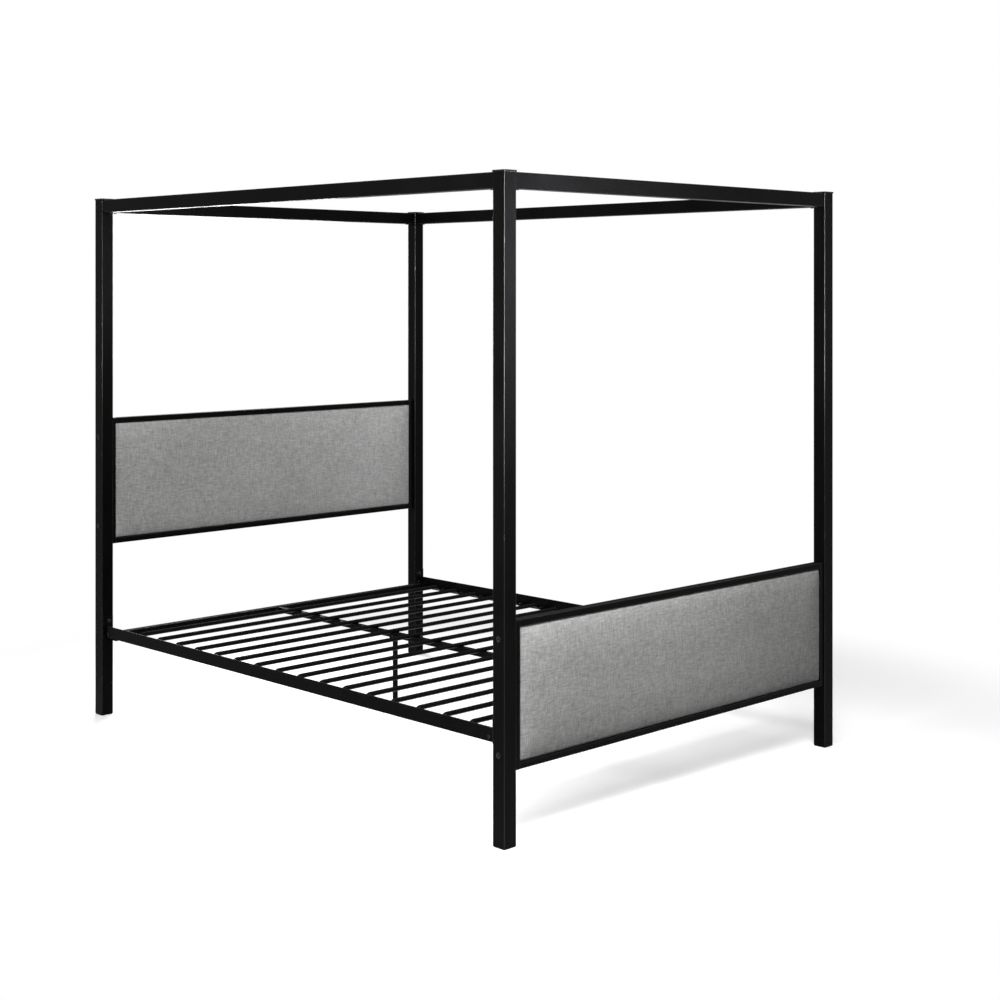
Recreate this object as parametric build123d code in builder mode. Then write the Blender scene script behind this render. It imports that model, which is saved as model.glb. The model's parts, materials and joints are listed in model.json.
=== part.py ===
"""Four poster canopy bed: square steel posts, canopy rails, two upholstered panels and a slatted base.

Millimetres, +Z up. The origin is on the floor under the middle of the bed.
X runs across the bed, Y runs along it, the head is at +Y and the foot at -Y.
"""
import os

from build123d import *

os.makedirs("parts", exist_ok=True)

# Overall size, over the post caps
overall_width = 1562.1
overall_length = 2133.6
overall_height = 1873.25

# Posts with their caps and glides
post_size = 47.0
post_wall = 1.5
post_corner = 3.0
cap_overhang = 2.5
cap_thickness = 5.0
cap_bevel = 1.2
plug_depth = 22.0
plug_clearance = 0.3
glide_thickness = 2.5
glide_inset = 1.5

# Canopy rails, and the stubs that they slide over
canopy_height = 46.5
canopy_depth = 36.0
canopy_inset = 2.5
canopy_wall = 1.5
canopy_corner = 2.5
spigot_length = 45.0
spigot_wall = 2.0
spigot_clearance = 0.3
canopy_screw_setback = 24.0

# Frames of the headboard and the footboard
panel_tube_face = 19.0
panel_tube_depth = 30.0
panel_tube_wall = 1.2
panel_tube_corner = 1.5
headboard_bottom = 617.0
headboard_top = 1075.0
footboard_bottom = 210.0
footboard_top = 624.5
panel_setback = 4.0
headboard_bolt_inset = 68.0
footboard_bolt_inset = 46.5

# Upholstery inside the frames, from back to front
tab_width = 26.0
tab_height = 24.0
tab_thickness = 2.0
tab_spread = 900.0
tab_screw_drop = 14.0
dust_cover_thickness = 0.8
board_thickness = 10.0
board_clearance = 1.0
foam_edge = 11.0
pad_crown = 10.0
pad_end_crown = 3.0
pad_pull_in = 2.0
cover_thickness = 1.2
cover_clearance = 0.5
foam_clearance = 0.3

# Side rails of steel angle, and their corner brackets
side_rail_bottom = 284.4
side_rail_height = 41.0
side_rail_flange = 27.0
side_rail_wall = 3.0
side_rail_inset = 12.0
bracket_thickness = 4.0
bracket_width = 40.0
bracket_rise = 32.0
bracket_return = 42.0
bracket_return_height = 26.0
bracket_bolt_low = 304.0
bracket_bolt_high = 340.0
rail_bolt_reach = 26.0
rail_bolt_rise = 13.0

# Slatted base
slat_count = 16
slat_end_gap = 134.55
slat_diameter = 15.0
slat_wall = 1.2
slat_vent_diameter = 3.0
slat_axis_height = 306.0
slat_bend = 34.0
slat_bend_steps = 5
slat_tip_width = 22.0
slat_tip_thickness = 4.0
slat_tip_length = 23.0
slat_edge_share = 0.49
slat_seat_clearance = 0.2
cross_rail_height = 32.0
cross_rail_depth = 25.0
cross_rail_wall = 1.5
cross_rail_corner = 2.0
cross_rail_top = 301.0
cross_rail_gap = 3.0
cross_plate_thickness = 3.0
cross_tab_length = 19.0
centre_rail_size = 20.0
centre_rail_wall = 1.5
centre_rail_corner = 1.5
centre_plate_thickness = 3.0
centre_plate_width = 52.0
centre_screw_offset = 18.0

# Support legs under the centre rail
leg_spacing = 594.0
leg_diameter = 19.0
leg_wall = 1.2
saddle_length = 36.0
saddle_wall = 2.5
saddle_cheek = 13.0
saddle_clearance = 0.2
leg_foot_diameter = 26.0
leg_foot_height = 10.0
leg_foot_edge = 1.6
leg_plug_depth = 20.0

# Fasteners
bolt_diameter = 8.0
bolt_head_diameter = 17.0
bolt_head_height = 2.4
bolt_socket_width = 5.0
bolt_socket_depth = 1.6
bolt_head_gap = 0.5
bolt_grip = 12.0
screw_diameter = 5.0
screw_head_diameter = 10.0
screw_head_height = 2.8
screw_head_bevel = 0.9
screw_grip = 6.0
fastener_clearance = 0.25

# Least inside corner of a rolled tube
least_corner = 0.5

# Places that follow from the sizes above
post_x = overall_width / 2 - cap_overhang - post_size / 2
post_y = overall_length / 2 - cap_overhang - post_size / 2
post_inner_x = post_x - post_size / 2
post_inner_y = post_y - post_size / 2
post_top = overall_height - cap_thickness
post_bore = post_size - 2 * post_wall
canopy_x = post_x + post_size / 2 - canopy_inset - canopy_depth / 2
canopy_y = post_y + post_size / 2 - canopy_inset - canopy_depth / 2
canopy_z = post_top - canopy_height / 2
rail_outer_x = post_x + post_size / 2 - side_rail_inset
rail_inner_x = rail_outer_x - side_rail_wall
flange_edge_x = rail_outer_x - side_rail_flange
flange_top = side_rail_bottom + side_rail_wall
rail_end_y = post_inner_y - bracket_thickness
bracket_bolt_x = rail_inner_x - bracket_thickness - bolt_head_diameter / 2 - bolt_head_gap
rail_bolt_y = post_inner_y - rail_bolt_reach
rail_bolt_z = side_rail_bottom + rail_bolt_rise
slat_tip_x = flange_edge_x - slat_seat_clearance
slat_straight_x = slat_tip_x - slat_bend
slat_screw_x = (slat_tip_x + rail_inner_x) / 2 - bracket_thickness / 2
cross_rail_y = rail_end_y - cross_rail_gap - cross_rail_depth / 2
slat_row_end = cross_rail_y - slat_end_gap
slat_pitch = 2 * slat_row_end / (slat_count - 1)
slat_places = [index * slat_pitch - slat_row_end for index in range(slat_count)]
cross_rail_z = cross_rail_top - cross_rail_height / 2
cross_rail_end_x = flange_edge_x - slat_seat_clearance
centre_rail_top = slat_axis_height - slat_diameter / 2 - slat_seat_clearance
centre_rail_bottom = centre_rail_top - centre_rail_size
centre_rail_end_y = cross_rail_y - cross_rail_depth / 2
bolt_hole_radius = bolt_diameter / 2 + fastener_clearance
screw_hole_radius = screw_diameter / 2 + fastener_clearance

POST_CORNERS = {
    "foot_left": (-1, -1),
    "foot_right": (1, -1),
    "head_left": (-1, 1),
    "head_right": (1, 1),
}


def save(part, name):
    """Label a finished piece and write it to its own file."""
    part.label = name
    export_step(part, f"parts/{name}.step")


def tube(plane, width, depth, wall, corner, length):
    """Rectangular tube with rounded corners, drawn on a plane and run along its normal."""
    inner_corner = max(corner - wall, least_corner)
    with BuildPart() as section:
        with BuildSketch(plane):
            RectangleRounded(width, depth, corner)
            RectangleRounded(width - 2 * wall, depth - 2 * wall, inner_corner, mode=Mode.SUBTRACT)
        extrude(amount=length)
    return section.part


def bolt(length):
    """Dome-headed bolt with a hex socket: head above the XY plane, shank below it."""
    with BuildPart() as fastener:
        with BuildSketch(Plane.XZ):
            with BuildLine():
                Polyline(
                    (bolt_head_diameter / 2, 0),
                    (bolt_diameter / 2, 0),
                    (bolt_diameter / 2, -length),
                    (0, -length),
                    (0, bolt_head_height),
                )
                TangentArc((0, bolt_head_height), (bolt_head_diameter / 2, 0), tangent=(1, 0))
            make_face()
        revolve(axis=Axis.Z)
        with BuildSketch(Plane.XY.offset(bolt_head_height)):
            RegularPolygon(bolt_socket_width / 2, 6, major_radius=False)
        extrude(amount=-bolt_socket_depth, mode=Mode.SUBTRACT)
    return fastener.part


def screw(length):
    """Pan-headed screw: head above the XY plane, shank below it."""
    with BuildPart() as fastener:
        with BuildSketch():
            Circle(screw_head_diameter / 2)
        extrude(amount=screw_head_height)
        chamfer(fastener.faces().sort_by(Axis.Z)[-1].edges(), screw_head_bevel)
        with BuildSketch():
            Circle(screw_diameter / 2)
        extrude(amount=-length)
    return fastener.part


def hole_along(axis_plane, radius, depth):
    """Cutter for a hole: a plain cylinder from a plane along its normal."""
    with BuildPart() as cutter:
        with BuildSketch(axis_plane):
            Circle(radius)
        extrude(amount=depth)
    return cutter.part


def place_all(piece, locations, name):
    """Write copies of one small piece as a single group of separate solids."""
    with BuildPart() as group:
        with Locations(*locations):
            add(piece)
    save(group.part, name)


# Posts: a hole right through for each panel bolt, and one wall drilled for each bracket bolt
bracket_bolt_heights = (bracket_bolt_low, bracket_bolt_high)
panel_bolt_heights = {
    1: (headboard_bottom + headboard_bolt_inset, headboard_top - headboard_bolt_inset),
    -1: (footboard_bottom + footboard_bolt_inset, footboard_top - footboard_bolt_inset),
}
for corner_name, (side, end) in POST_CORNERS.items():
    post_plane = Plane.XY.offset(glide_thickness)
    blank = tube(post_plane, post_size, post_size, post_wall, post_corner, post_top - glide_thickness)
    through = hole_along(Plane.YZ.offset(-post_size), bolt_hole_radius, 2 * post_size)
    inner_wall = hole_along(Plane((0, 0, 0), z_dir=(0, -end, 0)), bolt_hole_radius, post_size)
    with BuildPart() as post:
        with Locations((side * post_x, end * post_y, 0)):
            add(blank)
        with Locations(*[(side * post_x, end * post_y, height) for height in panel_bolt_heights[end]]):
            add(through, mode=Mode.SUBTRACT)
        with Locations(*[(side * bracket_bolt_x, end * post_y, height) for height in bracket_bolt_heights]):
            add(inner_wall, mode=Mode.SUBTRACT)
    save(post.part, f"post_{corner_name}")

# Caps: a bevelled plate on the post with a plug down its bore
plug_size = post_bore - 2 * plug_clearance
plug_corner = max(post_corner - post_wall, least_corner)
cap_size = post_size + 2 * cap_overhang
with BuildPart() as cap:
    with BuildSketch(Plane.XY.offset(post_top)):
        RectangleRounded(cap_size, cap_size, post_corner + cap_overhang)
    extrude(amount=cap_thickness)
    chamfer(cap.faces().sort_by(Axis.Z)[-1].edges(), cap_bevel)
    with BuildSketch(Plane.XY.offset(post_top)):
        RectangleRounded(plug_size, plug_size, plug_corner)
    extrude(amount=-plug_depth)
corner_places = [(side * post_x, end * post_y, 0) for side, end in POST_CORNERS.values()]
place_all(cap.part, corner_places, "post_caps")

# Glides: a foot plate under the post with a plug up its bore
glide_size = post_size - 2 * glide_inset
with BuildPart() as glide:
    with BuildSketch():
        RectangleRounded(glide_size, glide_size, post_corner)
    extrude(amount=glide_thickness)
    with BuildSketch(Plane.XY.offset(glide_thickness)):
        RectangleRounded(plug_size, plug_size, plug_corner)
    extrude(amount=plug_depth)
place_all(glide.part, corner_places, "post_glides")

# Canopy rails between the post tops, each drilled from below at both ends for its stub's screw
canopy_underside = post_top - canopy_height
screw_bore = hole_along(Plane.XY.offset(canopy_underside - screw_grip), screw_hole_radius, 3 * screw_grip)
side_screw_y = post_inner_y - canopy_screw_setback
end_screw_x = post_inner_x - canopy_screw_setback
for side_name, side in (("left", -1), ("right", 1)):
    rail_plane = Plane((side * canopy_x, -post_inner_y, canopy_z), x_dir=(1, 0, 0), z_dir=(0, 1, 0))
    blank = tube(rail_plane, canopy_depth, canopy_height, canopy_wall, canopy_corner, 2 * post_inner_y)
    with BuildPart() as side_canopy_rail:
        add(blank)
        with Locations(*[(side * canopy_x, end * side_screw_y, 0) for end in (-1, 1)]):
            add(screw_bore, mode=Mode.SUBTRACT)
    save(side_canopy_rail.part, f"canopy_rail_{side_name}")
for end_name, end in (("foot", -1), ("head", 1)):
    rail_plane = Plane((-post_inner_x, end * canopy_y, canopy_z), x_dir=(0, 1, 0), z_dir=(1, 0, 0))
    blank = tube(rail_plane, canopy_depth, canopy_height, canopy_wall, canopy_corner, 2 * post_inner_x)
    with BuildPart() as end_canopy_rail:
        add(blank)
        with Locations(*[(side * end_screw_x, end * canopy_y, 0) for side in (-1, 1)]):
            add(screw_bore, mode=Mode.SUBTRACT)
    save(end_canopy_rail.part, f"canopy_rail_{end_name}")

# Stubs on the posts inside the canopy rails' ends, and a screw up into each
spigot_depth = canopy_depth - 2 * canopy_wall - 2 * spigot_clearance
spigot_height = canopy_height - 2 * canopy_wall - 2 * spigot_clearance
stub = tube(Plane.XY, spigot_depth, spigot_height, spigot_wall, spigot_wall, spigot_length)
stub_bore_plane = Plane((0, 0, canopy_screw_setback), z_dir=(0, -1, 0))
stub_bore = hole_along(stub_bore_plane, screw_hole_radius, canopy_height)
with BuildPart() as spigot:
    add(stub)
    add(stub_bore, mode=Mode.SUBTRACT)
spigot_planes = []
canopy_screw_planes = []
for side, end in POST_CORNERS.values():
    along_y = Plane((side * canopy_x, end * post_inner_y, canopy_z), x_dir=(end, 0, 0), z_dir=(0, -end, 0))
    inward_x = (-side, 0, 0)
    along_x = Plane((side * post_inner_x, end * canopy_y, canopy_z), x_dir=(0, -side, 0), z_dir=inward_x)
    spigot_planes += [along_y, along_x]
    for x, y in ((side * canopy_x, end * side_screw_y), (side * end_screw_x, end * canopy_y)):
        canopy_screw_planes.append(Plane((x, y, canopy_underside), z_dir=(0, 0, -1)))
place_all(spigot.part, [plane.location for plane in spigot_planes], "canopy_spigots")
canopy_screw = screw(canopy_wall + spigot_wall + screw_grip)
place_all(canopy_screw, [plane.location for plane in canopy_screw_planes], "canopy_screws")

# Panels: a tube frame between the posts that holds a board, foam, a fabric cover and a dust cover
panel_opening = 2 * (post_inner_x - panel_tube_face)
tab_back_offset = panel_tube_depth / 2 - panel_tube_corner
tab_places = (-tab_spread / 2, tab_spread / 2)
panel_screw_length = tab_thickness + dust_cover_thickness + board_thickness - screw_grip / 2


def pad_form(width, height, edge, crown, end_crown, centre):
    """Crowned pad, flat behind: lens sections along X, with its long sides drawn in between the corners."""
    stations = (-1.0, -0.9, -0.5, 0.0, 0.5, 0.9, 1.0)
    with BuildPart() as pad:
        for station in stations:
            fullness = 1 - station**2
            half = height / 2 - pad_pull_in * fullness
            swell = edge + end_crown + (crown - end_crown) * fullness
            section_plane = Plane(
                (centre.X + station * width / 2, centre.Y, centre.Z), x_dir=(0, 0, 1), z_dir=(1, 0, 0)
            )
            with BuildSketch(section_plane):
                with BuildLine():
                    Polyline((-half, edge), (-half, 0), (half, 0), (half, edge))
                    ThreePointArc((half, edge), (0, swell), (-half, edge))
                make_face()
        loft()
    return pad.part


panel_screw_planes = []
dust_cover_sheets = []
for panel_name, end, bottom, top in (
    ("headboard", 1, headboard_bottom, headboard_top),
    ("footboard", -1, footboard_bottom, footboard_top),
):
    panel_y = end * (post_y + panel_setback)
    middle_z = (bottom + top) / 2
    opening_height = top - bottom - 2 * panel_tube_face

    # Stiles against the posts, drilled for the panel bolts
    for side_name, side in (("left", -1), ("right", 1)):
        stile_x = side * (post_inner_x - panel_tube_face / 2)
        stile_plane = Plane((stile_x, panel_y, bottom), x_dir=(1, 0, 0), z_dir=(0, 0, 1))
        blank = tube(
            stile_plane, panel_tube_face, panel_tube_depth, panel_tube_wall, panel_tube_corner, top - bottom
        )
        outer_wall = hole_along(
            Plane((stile_x, end * post_y, 0), z_dir=(side, 0, 0)), bolt_hole_radius, panel_tube_face
        )
        with BuildPart() as stile:
            add(blank)
            with Locations(*[(0, 0, height) for height in panel_bolt_heights[end]]):
                add(outer_wall, mode=Mode.SUBTRACT)
        save(stile.part, f"{panel_name}_{side_name}_stile")

    # Top and bottom tubes with the welded tabs that hold the board from behind
    screw_heights = {}
    for level_name, level_z, inward in (("top", top, -1), ("bottom", bottom, 1)):
        tube_z = level_z + inward * panel_tube_face / 2
        tab_z = level_z + inward * (panel_tube_face + tab_height / 2)
        screw_heights[level_name] = level_z + inward * (panel_tube_face + tab_screw_drop)
        tube_plane = Plane((-panel_opening / 2, panel_y, tube_z), x_dir=(0, 1, 0), z_dir=(1, 0, 0))
        blank = tube(
            tube_plane, panel_tube_depth, panel_tube_face, panel_tube_wall, panel_tube_corner, panel_opening
        )
        tab_y = panel_y + tab_back_offset - tab_thickness / 2
        tab_bore = hole_along(
            Plane((0, panel_y, screw_heights[level_name]), z_dir=(0, 1, 0)),
            screw_hole_radius,
            panel_tube_depth,
        )
        with BuildPart() as level_tube:
            add(blank)
            with Locations(*[(x, tab_y, tab_z) for x in tab_places]):
                Box(tab_width, tab_thickness, tab_height)
            with Locations(*[(x, 0, 0) for x in tab_places]):
                add(tab_bore, mode=Mode.SUBTRACT)
        save(level_tube.part, f"{panel_name}_{level_name}_tube")

    # Board and dust cover, drilled for the tab screws
    tab_back_y = panel_y + tab_back_offset
    sheet_width = panel_opening - 2 * board_clearance
    sheet_height = opening_height - 2 * board_clearance
    dust_front_y = tab_back_y - tab_thickness - dust_cover_thickness
    board_front_y = dust_front_y - board_thickness
    screw_places = [(x, height) for x in tab_places for height in screw_heights.values()]
    for piece_name, front_y, thickness in (
        ("board", board_front_y, board_thickness),
        ("dust_cover", dust_front_y, dust_cover_thickness),
    ):
        front_plane = Plane((0, front_y, 0), x_dir=(-1, 0, 0), z_dir=(0, 1, 0))
        with BuildPart() as sheet:
            with BuildSketch(front_plane):
                with Locations((0, middle_z)):
                    Rectangle(sheet_width, sheet_height)
                with Locations(*screw_places):
                    Circle(screw_hole_radius, mode=Mode.SUBTRACT)
            extrude(amount=thickness)
        if piece_name == "board":
            save(sheet.part, f"{panel_name}_board")
        else:
            dust_cover_sheets.append(sheet.part)
    panel_screw_planes += [Plane((x, tab_back_y, z), z_dir=(0, 1, 0)) for x, z in screw_places]

    # Foam on the board, and the fabric cover drawn over it
    pad_centre = Vector(0, board_front_y, middle_z)
    cover_width = panel_opening - 2 * cover_clearance
    cover_height = opening_height - 2 * cover_clearance
    cover_edge = foam_edge + cover_thickness
    shell_width = cover_width - 2 * cover_thickness
    shell_height = cover_height - 2 * cover_thickness
    outer_form = pad_form(cover_width, cover_height, cover_edge, pad_crown, pad_end_crown, pad_centre)
    inner_form = pad_form(shell_width, shell_height, foam_edge, pad_crown, pad_end_crown, pad_centre)
    foam_form = pad_form(
        shell_width - 2 * foam_clearance,
        shell_height - 2 * foam_clearance,
        foam_edge - foam_clearance,
        pad_crown,
        pad_end_crown,
        pad_centre,
    )
    with BuildPart() as cover:
        add(outer_form)
        add(inner_form, mode=Mode.SUBTRACT)
    save(cover.part, f"{panel_name}_cover")
    save(foam_form, f"{panel_name}_foam")

with BuildPart() as dust_covers:
    add(dust_cover_sheets)
save(dust_covers.part, "dust_covers")
place_all(screw(panel_screw_length), [plane.location for plane in panel_screw_planes], "panel_screws")

# Bolts through the posts into the panel stiles
panel_bolt_planes = []
for side, end in POST_CORNERS.values():
    for height in panel_bolt_heights[end]:
        face_x = side * (post_x + post_size / 2)
        panel_bolt_planes.append(Plane((face_x, end * post_y, height), z_dir=(side, 0, 0)))
panel_bolt = bolt(post_size + bolt_grip)
place_all(panel_bolt, [plane.location for plane in panel_bolt_planes], "panel_bolts")

# Side rails: steel angle with the upright leg outside and the flange turned in under the slats
tab_rows = slat_places + [-cross_rail_y, cross_rail_y]
flange_bore = hole_along(Plane.XY.offset(side_rail_bottom - screw_grip), screw_hole_radius, 3 * screw_grip)
for side_name, side in (("left", -1), ("right", 1)):
    end_point = (side * rail_outer_x, -rail_end_y, side_rail_bottom)
    end_plane = Plane(end_point, x_dir=(-side, 0, 0), z_dir=(0, 1, 0))
    leg_bore = hole_along(
        Plane((side * (rail_inner_x - side_rail_wall), 0, rail_bolt_z), z_dir=(side, 0, 0)),
        screw_hole_radius,
        3 * side_rail_wall,
    )
    with BuildPart() as side_rail:
        with BuildSketch(end_plane):
            with BuildLine():
                Polyline(
                    (0, 0),
                    (side_rail_flange, 0),
                    (side_rail_flange, side * side_rail_wall),
                    (side_rail_wall, side * side_rail_wall),
                    (side_rail_wall, side * side_rail_height),
                    (0, side * side_rail_height),
                    close=True,
                )
            make_face()
        extrude(amount=2 * rail_end_y)
        with Locations(*[(side * slat_screw_x, y, 0) for y in tab_rows]):
            add(flange_bore, mode=Mode.SUBTRACT)
        with Locations((0, -rail_bolt_y, 0), (0, rail_bolt_y, 0)):
            add(leg_bore, mode=Mode.SUBTRACT)
    save(side_rail.part, f"side_rail_{side_name}")

# Corner brackets: a plate on the post's inner face and a return along the inside of the side rail
bracket_top = side_rail_bottom + side_rail_height + bracket_rise
bracket_parts = []
for side, end in POST_CORNERS.values():
    plate_bore = hole_along(
        Plane((side * bracket_bolt_x, end * post_inner_y, 0), z_dir=(0, -end, 0)),
        bolt_hole_radius,
        2 * bracket_thickness,
    )
    return_bore = hole_along(
        Plane((side * rail_inner_x, end * rail_bolt_y, rail_bolt_z), z_dir=(-side, 0, 0)),
        screw_hole_radius,
        2 * bracket_thickness,
    )
    plate_centre = (
        side * post_x,
        end * (post_inner_y - bracket_thickness / 2),
        (side_rail_bottom + bracket_top) / 2,
    )
    return_centre = (
        side * (rail_inner_x - bracket_thickness / 2),
        end * (rail_end_y - bracket_return / 2),
        flange_top + bracket_return_height / 2,
    )
    with BuildPart() as bracket:
        with Locations(plate_centre):
            Box(bracket_width, bracket_thickness, bracket_top - side_rail_bottom)
        with Locations(return_centre):
            Box(bracket_thickness, bracket_return, bracket_return_height)
        with Locations(*[(0, 0, height) for height in bracket_bolt_heights]):
            add(plate_bore, mode=Mode.SUBTRACT)
        add(return_bore, mode=Mode.SUBTRACT)
    bracket_parts.append(bracket.part)
with BuildPart() as rail_brackets:
    add(bracket_parts)
save(rail_brackets.part, "rail_brackets")

bracket_bolt_planes = []
rail_bolt_planes = []
for side, end in POST_CORNERS.values():
    for height in bracket_bolt_heights:
        bolt_point = (side * bracket_bolt_x, end * rail_end_y, height)
        bracket_bolt_planes.append(Plane(bolt_point, z_dir=(0, -end, 0)))
    rail_bolt_point = (side * rail_outer_x, end * rail_bolt_y, rail_bolt_z)
    rail_bolt_planes.append(Plane(rail_bolt_point, z_dir=(side, 0, 0)))
bracket_bolt = bolt(bracket_thickness + post_wall + bolt_grip)
place_all(bracket_bolt, [plane.location for plane in bracket_bolt_planes], "bracket_bolts")
rail_bolt = screw(side_rail_wall + bracket_thickness + screw_grip)
place_all(rail_bolt, [plane.location for plane in rail_bolt_planes], "rail_bolts")

# Slats: a round tube whose ends drop and flatten into tips that lie on the side rails' flanges
tip_axis_height = flange_top + slat_tip_thickness / 2
tip_bore = hole_along(Plane.XY.offset(flange_top - screw_grip), screw_hole_radius, 3 * screw_grip)
slat_hollow_x = slat_straight_x - slat_wall
slat_vent_x = slat_straight_x - slat_bend
with BuildPart() as slat_hollow:
    with BuildSketch(Plane((-slat_hollow_x, 0, slat_axis_height), x_dir=(0, 1, 0), z_dir=(1, 0, 0))):
        Circle(slat_diameter / 2 - slat_wall)
    extrude(amount=2 * slat_hollow_x)
    with BuildSketch(Plane((slat_vent_x, 0, slat_axis_height), x_dir=(1, 0, 0), z_dir=(0, -1, -1))):
        Circle(slat_vent_diameter / 2)
    extrude(amount=slat_diameter)


def slat_section(x, flattening):
    """Slat outline at a place along it: round at flattening 0, a flat tip on the flange at 1."""
    width = slat_diameter + (slat_tip_width - slat_diameter) * flattening
    height = slat_diameter + (slat_tip_thickness - slat_diameter) * flattening
    axis_height = slat_axis_height + (tip_axis_height - slat_axis_height) * flattening
    with BuildSketch(Plane((x, 0, axis_height), x_dir=(0, 1, 0), z_dir=(1, 0, 0))) as outline:
        RectangleRounded(width, height, slat_edge_share * min(width, height))
    return outline.sketch


slat_outlines = [slat_section(-slat_tip_x - slat_tip_length, 1)]
for side in (-1, 1):
    for step in range(slat_bend_steps + 1):
        share = step / slat_bend_steps if side > 0 else 1 - step / slat_bend_steps
        flattening = share * share * (3 - 2 * share)
        slat_outlines.append(slat_section(side * (slat_straight_x + share * slat_bend), flattening))
slat_outlines.append(slat_section(slat_tip_x + slat_tip_length, 1))
with BuildPart() as slat:
    loft(slat_outlines, ruled=True)
    with Locations((-slat_screw_x, 0, 0), (slat_screw_x, 0, 0)):
        add(tip_bore, mode=Mode.SUBTRACT)
    add(slat_hollow.part, mode=Mode.SUBTRACT)
for number, y in enumerate(slat_places, start=1):
    with BuildPart() as placed_slat:
        with Locations((0, y, 0)):
            add(slat.part)
    save(placed_slat.part, f"slat_{number:02d}")

# Cross rails at the head and the foot, with a closed end and a tab on each flange
cross_tube_length = 2 * (cross_rail_end_x - cross_plate_thickness)
cross_tab_z = flange_top + slat_tip_thickness / 2
centre_screw_z = (centre_rail_top + centre_rail_bottom) / 2
for end_name, end in (("foot", -1), ("head", 1)):
    y = end * cross_rail_y
    tube_plane = Plane((-cross_tube_length / 2, y, cross_rail_z), x_dir=(0, 1, 0), z_dir=(1, 0, 0))
    blank = tube(
        tube_plane,
        cross_rail_depth,
        cross_rail_height,
        cross_rail_wall,
        cross_rail_corner,
        cross_tube_length,
    )
    inner_face_plane = Plane((0, y, centre_screw_z), z_dir=(0, -end, 0))
    inner_face_bore = hole_along(inner_face_plane, screw_hole_radius, cross_rail_depth)
    plate_x = cross_rail_end_x - cross_plate_thickness / 2
    tab_x = cross_rail_end_x + cross_tab_length / 2
    with BuildPart() as cross_rail:
        add(blank)
        with Locations((-plate_x, y, cross_rail_z), (plate_x, y, cross_rail_z)):
            Box(cross_plate_thickness, cross_rail_depth, cross_rail_height)
        with Locations((-tab_x, y, cross_tab_z), (tab_x, y, cross_tab_z)):
            Box(cross_tab_length, slat_tip_width, slat_tip_thickness)
        with Locations((-slat_screw_x, y, 0), (slat_screw_x, y, 0)):
            add(tip_bore, mode=Mode.SUBTRACT)
        with Locations((-centre_screw_offset, 0, 0), (centre_screw_offset, 0, 0)):
            add(inner_face_bore, mode=Mode.SUBTRACT)
    save(cross_rail.part, f"cross_rail_{end_name}")

slat_screw_places = [
    (side * slat_screw_x, y, flange_top + slat_tip_thickness) for y in tab_rows for side in (-1, 1)
]
slat_screw = screw(slat_tip_thickness + side_rail_wall + screw_grip)
place_all(slat_screw, slat_screw_places, "slat_screws")

# Centre rail under the slats, with a plate at each end screwed to the cross rails
centre_tube_end_y = centre_rail_end_y - centre_plate_thickness
centre_plane = Plane((0, -centre_tube_end_y, centre_screw_z), x_dir=(1, 0, 0), z_dir=(0, 1, 0))
centre_blank = tube(
    centre_plane,
    centre_rail_size,
    centre_rail_size,
    centre_rail_wall,
    centre_rail_corner,
    2 * centre_tube_end_y,
)
plate_y = centre_rail_end_y - centre_plate_thickness / 2
end_plate_bore = hole_along(
    Plane((0, -overall_length / 2, centre_screw_z), z_dir=(0, 1, 0)), screw_hole_radius, overall_length
)
leg_bolt_z = centre_rail_bottom + saddle_cheek / 2
leg_places = (-leg_spacing / 2, leg_spacing / 2)
leg_bore = hole_along(Plane((-post_size, 0, leg_bolt_z), z_dir=(1, 0, 0)), screw_hole_radius, 2 * post_size)
with BuildPart() as centre_rail:
    add(centre_blank)
    with Locations((0, -plate_y, centre_screw_z), (0, plate_y, centre_screw_z)):
        Box(centre_plate_width, centre_plate_thickness, centre_rail_size)
    with Locations((-centre_screw_offset, 0, 0), (centre_screw_offset, 0, 0)):
        add(end_plate_bore, mode=Mode.SUBTRACT)
    with Locations(*[(0, y, 0) for y in leg_places]):
        add(leg_bore, mode=Mode.SUBTRACT)
save(centre_rail.part, "centre_rail")
centre_screw_planes = []
for side in (-1, 1):
    for end in (-1, 1):
        screw_point = (side * centre_screw_offset, end * centre_tube_end_y, centre_screw_z)
        centre_screw_planes.append(Plane(screw_point, z_dir=(0, -end, 0)))
centre_screw = screw(centre_plate_thickness + cross_rail_wall + screw_grip)
place_all(centre_screw, [plane.location for plane in centre_screw_planes], "centre_rail_screws")

# Support legs: a round tube with a welded saddle under the centre rail
saddle_width = centre_rail_size + 2 * (saddle_clearance + saddle_wall)
saddle_bottom = centre_rail_bottom - saddle_wall
saddle_centre_z = saddle_bottom + (saddle_wall + saddle_cheek) / 2
for end_name, y in zip(("foot", "head"), leg_places):
    with BuildPart() as leg:
        with BuildSketch(Plane((0, y, leg_foot_height))):
            Circle(leg_diameter / 2)
            Circle(leg_diameter / 2 - leg_wall, mode=Mode.SUBTRACT)
        extrude(amount=saddle_bottom - leg_foot_height)
        with Locations((0, y, saddle_centre_z)):
            Box(saddle_width, saddle_length, saddle_wall + saddle_cheek)
        with Locations((0, y, centre_rail_bottom + saddle_cheek)):
            Box(
                saddle_width - 2 * saddle_wall,
                saddle_length,
                2 * saddle_cheek,
                mode=Mode.SUBTRACT,
            )
        with Locations((0, y, 0)):
            add(leg_bore, mode=Mode.SUBTRACT)
    save(leg.part, f"support_leg_{end_name}")
leg_bolt_planes = [Plane((-saddle_width / 2, y, leg_bolt_z), z_dir=(-1, 0, 0)) for y in leg_places]
place_all(screw(saddle_width + screw_grip), [plane.location for plane in leg_bolt_planes], "leg_bolts")

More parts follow.
